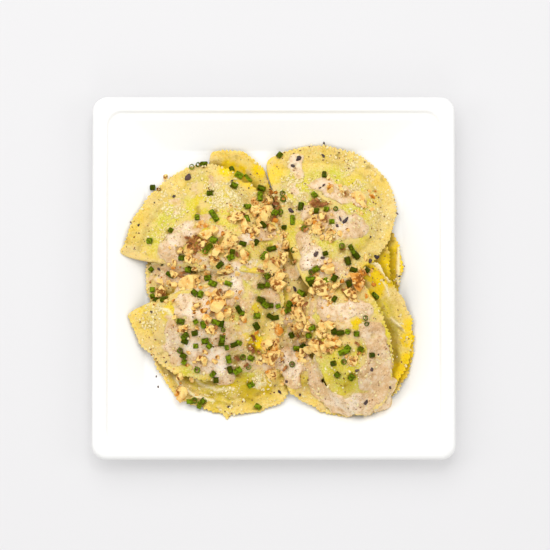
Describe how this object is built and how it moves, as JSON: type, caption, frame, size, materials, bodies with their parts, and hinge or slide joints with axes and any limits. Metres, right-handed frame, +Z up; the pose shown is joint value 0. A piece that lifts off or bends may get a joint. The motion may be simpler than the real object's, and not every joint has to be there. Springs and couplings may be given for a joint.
{
  "type": "ravioli",
  "caption": "Half-moon ravioli with sauce, chopped nuts and chives, piled on a square moulded-fibre plate.",
  "frame": {"origin": "middle of the plate's underside, on the surface that it stands on", "axes": "+Z up; +Y towards the back of the plate, so a diner sits at -Y; +X to the diner's right"},
  "size_m": [0.2, 0.2, 0.0298],
  "materials": {
    "fibre": "matte moulded plant fibre, off-white",
    "pasta": null,
    "pasta_gold": null
  },
  "bodies": {
    "root": {"plate": "fibre", "under_front": "pasta", "under_right": "pasta", "side_low": "pasta_gold", "left_mid": "pasta", "side_high": "pasta_gold", "back_mid": "pasta_gold", "right_gold": "pasta_gold", "centre": "pasta", "front_left": "pasta", "front_right": "pasta", "back_left": "pasta", "back_right": "pasta"}
  },
  "joints": []
}
